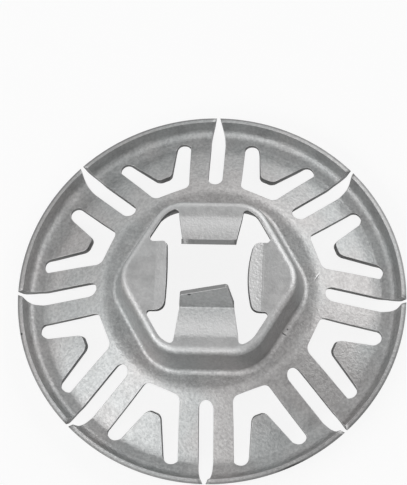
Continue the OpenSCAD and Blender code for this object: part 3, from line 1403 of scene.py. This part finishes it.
@dataclass(frozen=True)
class ZincFinish:
    """Dull zinc plating on sheet steel: grain, mottled tones, bright crystal specks painted as glints,
    painted shade on steep walls, cut faces and the seat ring's bend, and painted highlights on the boss's top
    and the cut faces' upper edges.

    Sizes, heights and places are in metres. A ramp gives a share of the colour that it lays on, out of
    a noise, a radius, a place, a height, the steepness of the sheet or the depth in a cut face.
    """

    name: str = "zinc_steel"
    dark: Colour = (0.45, 0.45, 0.455, 1.0)
    light: Colour = grey(0.76)
    warm: Colour = (0.64, 0.60, 0.58, 1.0)
    cool: Colour = (0.54, 0.585, 0.58, 1.0)
    # Light colour of the painted highlights and glints.
    edge: Colour = grey(0.86)
    # Colour of the painted shade.
    shade: Colour = grey(0.30)
    fine: Grain = Grain(0.00007, 0.000006, 1.0)
    grain: Grain = Grain(0.00014, 0.000038, 2.0, 0.6)
    mottle: Grain = Grain(0.0006, 0.000014, 3.0, 0.6)
    cloud: Grain = Grain(0.0042)
    # Bright crystal specks, painted in the colour as glints.
    crystal_glint: Grain = Grain(0.00012, 0.0, 1.0)
    mottle_tone: Ramp = Ramp(0.3, 0.7, 0.0, 0.35)
    grain_tone: Ramp = Ramp(0.36, 0.64, 0.0, 0.65)
    cloud_tint: Ramp = Ramp(0.4, 0.6)
    tint_share: float = 0.3
    crystal_glint_tone: Ramp = Ramp(0.64, 0.78, 0.0, 0.5)
    crystal_glint_cloud: Ramp = Ramp(0.42, 0.58, 0.35, 1.0)
    # Painted shade on steep walls, set by steepness, side and radius.
    wall_shade: Ramp = Ramp(0.3, 0.85, 0.0, 0.62)
    wall_east: Ramp = Ramp(-0.0075, -0.0015, 0.1, 1.0)
    wall_south_east: Ramp = Ramp(0.013, 0.021, 1.0, 0.1)
    past_hub: Ramp = Ramp(0.011, 0.012)
    brim_shade: Ramp = Ramp(0.011, 0.012, 1.0, 0.65)
    at_rim: Ramp = Ramp(0.0172, 0.0176)
    within_rim: Ramp = Ramp(0.0172, 0.0176, 1.0, 0.0)
    # Painted shade on the cut faces, by radius and depth.
    rim_cut: Ramp = Ramp(0.45, 0.75, 0.25, 0.95)
    slot_cut: Ramp = Ramp(0.0, 1.0, 0.8, 0.5)
    well_cut: Ramp = Ramp(0.0076, 0.0082, 0.9, 0.0)
    cut_face: Ramp = Ramp(0.0, 0.5)
    # Painted shade in the bend between brim and seat ring, patchy with the cloud noise.
    seat_shade_r: float = 0.01668
    seat_shade_tone: Ramp = Ramp(0.0, 0.00055, 0.22, 0.0)
    seat_shade_cloud: Ramp = Ramp(0.35, 0.6, 0.3, 1.0)
    # Painted highlight on the boss's flat top.
    top_highlight_z: float = 0.0080
    top_highlight_tone: Ramp = Ramp(0.00005, 0.0006, 0.85, 0.1)
    top_highlight_level: Ramp = Ramp(0.2, 0.5, 1.0, 0.0)
    top_highlight_above: Ramp = Ramp(0.006, 0.007)
    # Share of painted highlight on the rounded upper edges of the cuts.
    edge_highlight_tone: float = 0.6
    rub_gloss: float = 0.1
    rough: Ramp = Ramp(0.3, 0.7, 0.38, 0.52)
    mark_tone: Ramp = Ramp(0.5, 1.1, 0.9, 0.0)
    # Marks in the plating, with painted shade and a painted highlight among them, noted one by one.
    marks: tuple[Mark, ...] = (
        Mark((-1.60, -2.82, 10.27), (0.2, 0.11, 0.15), 0.0, 0.08),
        Mark((-18.40, -4.21, 1.90), (0.14, 0.14, 0.2), 0.0, 0.06),
        Mark((7.31, -4.54, 4.30), (0.36, 0.08, 0.3), -26.0, 0.12),
        Mark((7.60, -4.02, 4.23), (0.11, 0.11, 0.2), 0.0, 0.14),
        Mark((10.25, 1.49, 4.05), (0.66, 0.07, 0.3), 60.0, 1.0),
        # Painted shadow along the scratch above.
        Mark((10.31, 1.42, 4.05), (0.5, 0.05, 0.3), 60.0, 0.2),
        Mark((-6.36, -6.01, 4.27), (0.2, 0.07, 0.2), 40.0, 0.9),
        # Painted highlight along the east lobe's bend.
        Mark((5.28, 0.0, 7.77), (0.05, 3.0, 0.3), 0.0, 0.95),
        Mark((4.70, 0.3, 7.97), (0.05, 1.9, 0.3), 0.0, 0.9),
        # Painted shade: a dark band on the lip's outer edge in the south-east, for its shaded outer face.
        Mark((8.31, -17.03, 1.6), (2.4, 0.17, 0.6), 26.0, 0.05))

    def wall_shade_share(self, nodes: Nodes, at: Reading) -> Socket:
        """Paints shade on what is steep: the boss's wall except in the west, and the brim except in the
        south-east.

        Args:
            nodes: The material's nodes.
            at: What they read.

        Returns:
            The share of painted shade.
        """
        side = nodes.math("MAXIMUM", nodes.ramp(at.east, self.wall_east),
                          nodes.ramp(at.radius, self.past_hub))
        south_east = nodes.math("SUBTRACT", at.east, at.north)
        side = nodes.times(side, nodes.ramp(south_east, self.wall_south_east),
                           nodes.ramp(at.radius, self.brim_shade))
        return nodes.times(nodes.ramp(at.steep, self.wall_shade), side)

    def cut_shade_share(self, nodes: Nodes, at: Reading) -> Socket:
        """Paints shade on the cut faces: the lip's below, the slots' above, and most of all those in the
        boss.

        Args:
            nodes: The material's nodes.
            at: What they read.

        Returns:
            The share of shade.
        """
        rim = nodes.times(nodes.ramp(at.radius, self.at_rim), nodes.ramp(at.depth, self.rim_cut))
        slot = nodes.times(nodes.ramp(at.radius, self.within_rim), nodes.ramp(at.depth, self.slot_cut))
        deep = nodes.math("MAXIMUM", nodes.math("ADD", rim, slot), nodes.ramp(at.radius, self.well_cut))
        return nodes.times(nodes.ramp(at.cut, self.cut_face), deep)

    def top_highlight_share(self, nodes: Nodes, at: Reading) -> Socket:
        """Paints a highlight on the boss's flat top.

        Args:
            nodes: The material's nodes.
            at: What they read.

        Returns:
            The share of painted highlight.
        """
        level = nodes.ramp(nodes.apart(at.high, self.top_highlight_z), self.top_highlight_tone)
        return nodes.times(level, nodes.ramp(at.steep, self.top_highlight_level),
                           nodes.ramp(at.high, self.top_highlight_above))

    def mark_share(self, nodes: Nodes, at: Reading, mark: Mark) -> Socket:
        """Covers one mark's ellipsoid.

        Args:
            nodes: The material's nodes.
            at: What they read.
            mark: The mark.

        Returns:
            The share of the mark's tone.
        """
        spot = nodes.add("ShaderNodeMapping", vector_type="TEXTURE", Vector=at.place,
                         Location=tuple(MM * v for v in mark.place), Scale=tuple(MM * v for v in mark.reach),
                         Rotation=(0.0, 0.0, np.radians(mark.turn)))
        return nodes.ramp(nodes.length(spot.outputs[0]), self.mark_tone)

    def material(self) -> bpy.types.Material:
        """Builds the finish: a grained base colour with layers over it, roughness and bumps.

        Returns:
            A material for the whole sheet, which reads its attributes cut, depth and steep.
        """
        nodes = Nodes(self.name)
        at = Reading.of(nodes)
        fine, grain, mottle, cloud, crystal_glint = [nodes.noise(at.place, kind) for kind in (
            self.fine, self.grain, self.mottle, self.cloud, self.crystal_glint)]
        tone = nodes.math("ADD", nodes.ramp(mottle, self.mottle_tone), nodes.ramp(grain, self.grain_tone))
        tint = nodes.mix(nodes.ramp(cloud, self.cloud_tint), self.cool, self.warm)
        # Painted glints: bright crystal specks in the highlight colour, patchy with the cloud noise.
        crystal_glint = nodes.times(nodes.ramp(crystal_glint, self.crystal_glint_tone), nodes.ramp(cloud, self.crystal_glint_cloud))
        # Painted shade along the bend between brim and seat ring.
        ring = nodes.times(nodes.ramp(nodes.apart(at.radius, self.seat_shade_r), self.seat_shade_tone),
                           nodes.ramp(cloud, self.seat_shade_cloud))
        # A share times its rest peaks at a quarter, here on the rounded edge of a cut; on the upper edge it
        # lays a painted highlight.
        rounded_edge = nodes.times(at.cut, nodes.rest(at.cut), 4.0, nodes.rest(at.depth))
        # Layers over the grain: tint, painted glints, painted shade on steep walls, cut faces and the seat
        # ring's bend, and a painted highlight on the boss's top.
        layers = [(self.tint_share, tint), (crystal_glint, self.edge), (self.wall_shade_share(nodes, at), self.shade),
                  (self.cut_shade_share(nodes, at), self.shade), (ring, self.shade),
                  (self.top_highlight_share(nodes, at), self.edge)]
        layers += [(self.mark_share(nodes, at, mark), grey(mark.tone)) for mark in self.marks]
        base = nodes.mix(tone, self.dark, self.light)
        for share, colour in layers + [(nodes.times(rounded_edge, self.edge_highlight_tone), self.edge)]:
            base = nodes.mix(share, base, colour)

        rough = nodes.math("SUBTRACT", nodes.ramp(mottle, self.rough), nodes.times(rounded_edge, self.rub_gloss))
        height = nodes.times(grain, self.grain.height)
        for lumps, kind in ((mottle, self.mottle), (fine, self.fine)):
            height = nodes.math("ADD", height, nodes.times(lumps, kind.height))
        bump = nodes.add("ShaderNodeBump", Height=height, Strength=1.0, Distance=1.0)
        shader = nodes.add("ShaderNodeBsdfPrincipled", Base_Color=base, Roughness=rough, Metallic=1.0,
                           Normal=bump.outputs[0])
        nodes.add("ShaderNodeOutputMaterial", Surface=shader.outputs[0])
        return nodes.material


@dataclass(frozen=True)
class FloorFinish:
    """Plain white paper under the clip."""

    name: str = "floor_paper"
    colour: float = 0.88
    lift: float = 0.86
    roughness: float = 0.9

    def material(self) -> bpy.types.Material:
        """Builds the paper, which looks white to the eye and in reflections and still shows shade.

        Returns:
            A rough material with light of its own for camera rays.
        """
        nodes = Nodes(self.name)
        seen = nodes.add("ShaderNodeLightPath").outputs["Is Camera Ray"]
        base = nodes.mix(seen, grey(self.colour), grey(self.colour * (1 - self.lift)))
        shader = nodes.add("ShaderNodeBsdfPrincipled", Base_Color=base, Roughness=self.roughness,
                           Emission_Color=grey(1.0), Emission_Strength=nodes.times(seen, self.lift))
        nodes.add("ShaderNodeOutputMaterial", Surface=shader.outputs[0])
        return nodes.material


@dataclass
class ClipShell:
    """The stamped clip as one closed mesh, with its finish."""

    sheet: Sheet
    finish: ZincFinish
    hub_edge_r: float = 9.817

    def skin(self) -> Skin:
        """Works out the whole surface.

        Returns:
            The closed skin of boss, tongues, lobes, hub and brim.
        """
        sheet = self.sheet
        brim = Brim(sheet, self.hub_edge_r)
        boss = Boss(sheet, hub_z=brim.hub_z)
        shell = Shell()
        around = 6 * boss.sixth
        west = Lobe(sheet, boss, Side.WEST, rise_angle=11.0, edge_x=3.95, bulge=0.2, corner_r=(0.45, 0.85))
        flaps = [Lobe(sheet, boss, Side.EAST), Tongue(sheet, boss, Side.NORTH, tip_corner_r=0.6), west,
                 Tongue(sheet, boss, Side.SOUTH, tip_right=2.05)]
        roots = [(flap, flap.side.value * around / 4, flap.half_root) for flap in flaps]
        marks = [centre + way * half for _, centre, half in roots for way in (-1, 1)]
        length = boss.columns(marks + [marks[0] + around])
        foot = boss.build(shell, length)
        for flap, centre, half in roots:
            mine = length[np.abs(length - centre) < half + Shell.WELD]
            flap.build(shell, boss.ring(mine, np.full(len(mine), boss.well_r)))
        zip_ring(shell, foot[:-1], brim.build(shell), boss.hub_z, boss.hub_z - sheet.thickness)
        return shell.closed(sheet.roll, sheet.burr)

    def mesh(self, skin: Skin) -> bpy.types.Mesh:
        """Makes the mesh with its normals, its attributes and its finish.

        Args:
            skin: The surface in millimetres.

        Returns:
            The mesh in metres.
        """
        mesh = bpy.data.meshes.new("clip_shell")
        loops = np.concatenate([faces.reshape(-1) for faces in skin.faces]).astype(np.int32)
        sizes = np.concatenate([np.full(len(faces), faces.shape[1]) for faces in skin.faces])
        mesh.vertices.add(len(skin.points))
        mesh.vertices.foreach_set("co", (skin.points * MM).astype(np.float32).ravel())
        mesh.loops.add(len(loops))
        mesh.loops.foreach_set("vertex_index", loops)
        mesh.polygons.add(len(sizes))
        mesh.polygons.foreach_set("loop_start", np.concatenate([[0], np.cumsum(sizes)[:-1]]).astype(np.int32))
        mesh.update(calc_edges=True)
        mesh.polygons.foreach_set("use_smooth", np.ones(len(sizes), dtype=bool))
        steep = 1 - np.abs(skin.normals[:, 2])
        for name, values in (("cut", skin.cut), ("depth", skin.depth), ("steep", steep)):
            mesh.attributes.new(name, "FLOAT", "POINT").data.foreach_set("value", values.astype(np.float32))
        mesh.normals_split_custom_set_from_vertices(skin.normals.astype(np.float32))
        mesh.materials.append(self.finish.material())
        return mesh

    def build(self) -> bpy.types.Object:
        """Makes the object and puts it in the CAD node's place.

        Returns:
            The piece.
        """
        piece = placed("clip_shell", self.mesh(self.skin()))
        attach(piece, "root")
        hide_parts("clip")
        log.info("clip_shell: %d points, %d faces", len(piece.data.vertices), len(piece.data.polygons))
        return piece


def placed(name: str, data: bpy.types.ID) -> bpy.types.Object:
    """Puts an object into the scene.

    Args:
        name: Name of the object.
        data: Its mesh, light or camera.

    Returns:
        The object, at the origin.
    """
    piece = bpy.data.objects.new(name, data)
    bpy.context.scene.collection.objects.link(piece)
    return piece


def facing(back: Array, place: Array, roll: float = 0.0) -> Matrix:
    """Placing of a lamp or camera that looks along its own -Z.

    Args:
        back: Unit vector out of its back, which doesn't point straight up or down.
        place: Where it stands.
        roll: Turn about its own axis, in degrees.

    Returns:
        The matrix, with its +Y as near to the world's +Z as the roll lets it be.
    """
    across = unit(np.array([-back[1], back[0], 0.0]))
    turn = np.radians(roll)
    right = np.cos(turn) * across + np.sin(turn) * np.cross(back, across)
    rows = np.column_stack([right, np.cross(back, right), back, place])
    return Matrix([*rows.tolist(), [0.0, 0.0, 0.0, 1.0]])


@dataclass(frozen=True)
class Softbox:
    """One rectangular lamp that faces the clip."""

    name: str
    toward: tuple[float, float, float]
    width: float
    height: float
    level: float
    distance: float = 0.45

    def build(self) -> bpy.types.Object:
        """Makes the lamp. Its power is its radiance times pi times its area.

        Returns:
            The lamp.
        """
        lamp = bpy.data.lights.new(self.name, "AREA")
        lamp.shape = "RECTANGLE"
        lamp.size, lamp.size_y = self.width, self.height
        lamp.energy = self.level * np.pi * self.width * self.height
        piece = placed(self.name, lamp)
        back = unit(np.array(self.toward))
        piece.matrix_world = facing(back, self.distance * back)
        return piece


@dataclass
class Studio:
    """Floor, lamps, surroundings and camera, in metres and degrees, and the camera's lens in millimetres.

    Each lamp stands where a bright patch shows in the metal.
    """

    floor_size: float = 2.4
    floor_z: float = -0.00001
    room: Colour = grey(0.335)
    aim: tuple[float, float, float] = (0.0, 0.0, 0.00483)
    azimuth: float = 9.923
    elevation: float = 69.618
    roll: float = -8.244
    distance: float = 0.28457
    lens: float = 218.43
    sensor: float = 36.0
    shift: tuple[float, float] = (-0.01334, 0.09103)
    clip: tuple[float, float] = (0.01, 10.0)
    lamps: tuple[Softbox, ...] = (
        Softbox("left_box", (-0.67, -0.47, 0.56), 0.48, 0.24, 1.7),
        Softbox("west_box", (-0.78, 0.28, 0.52), 0.26, 0.24, 0.65),
        Softbox("right_box", (0.68, 0.54, 0.50), 0.58, 0.32, 1.25),
        Softbox("front_box", (0.03, -0.83, 0.56), 0.28, 0.22, 0.9),
        Softbox("top_box", (-0.05, -0.30, 0.95), 0.24, 0.20, 0.8),
        Softbox("back_box", (-0.22, 0.90, 0.37), 0.60, 0.30, 0.42))

    def floor(self) -> bpy.types.Object:
        """Makes the floor, a flat sheet just under the seat ring.

        Returns:
            The floor.
        """
        half = self.floor_size / 2
        corners = [(x * half, y * half, self.floor_z) for x, y in ((-1, -1), (1, -1), (1, 1), (-1, 1))]
        mesh = bpy.data.meshes.new("floor")
        mesh.from_pydata(corners, [], [(0, 1, 2, 3)])
        mesh.materials.append(FloorFinish().material())
        piece = placed("floor", mesh)
        return piece

    def surroundings(self) -> None:
        """Sets a plain pale room round everything."""
        world = bpy.data.worlds.new("studio")
        world.use_nodes = True
        background = world.node_tree.nodes["Background"]
        background.inputs["Color"].default_value = self.room
        background.inputs["Strength"].default_value = 1.0
        bpy.context.scene.world = world

    def camera(self) -> bpy.types.Object:
        """Makes the camera at the photograph's viewing angle.

        Returns:
            The camera.
        """
        lens = bpy.data.cameras.new("camera")
        lens.sensor_fit = "VERTICAL"
        lens.sensor_height = self.sensor
        lens.lens = self.lens
        lens.shift_x, lens.shift_y = self.shift
        lens.clip_start, lens.clip_end = self.clip
        piece = placed("camera", lens)
        azimuth, elevation = np.radians(self.azimuth), np.radians(self.elevation)
        back = np.array([np.cos(elevation) * np.sin(azimuth), -np.cos(elevation) * np.cos(azimuth),
                         np.sin(elevation)])
        piece.matrix_world = facing(back, np.array(self.aim) + self.distance * back, self.roll)
        bpy.context.scene.camera = piece
        return piece

    def build(self) -> None:
        """Sets the whole stage."""
        self.floor()
        self.surroundings()
        for lamp in self.lamps:
            lamp.build()
            log.info("%s: level %.2f", lamp.name, lamp.level)
        self.camera()
        bpy.context.scene.view_settings.view_transform = "Standard"


def main() -> None:
    """Builds the clip and its stage."""
    logging.basicConfig(level=logging.INFO, format="%(name)s: %(message)s")
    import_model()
    ClipShell(Sheet(), ZincFinish()).build()
    Studio().build()


if __name__ == "__main__":
    main()
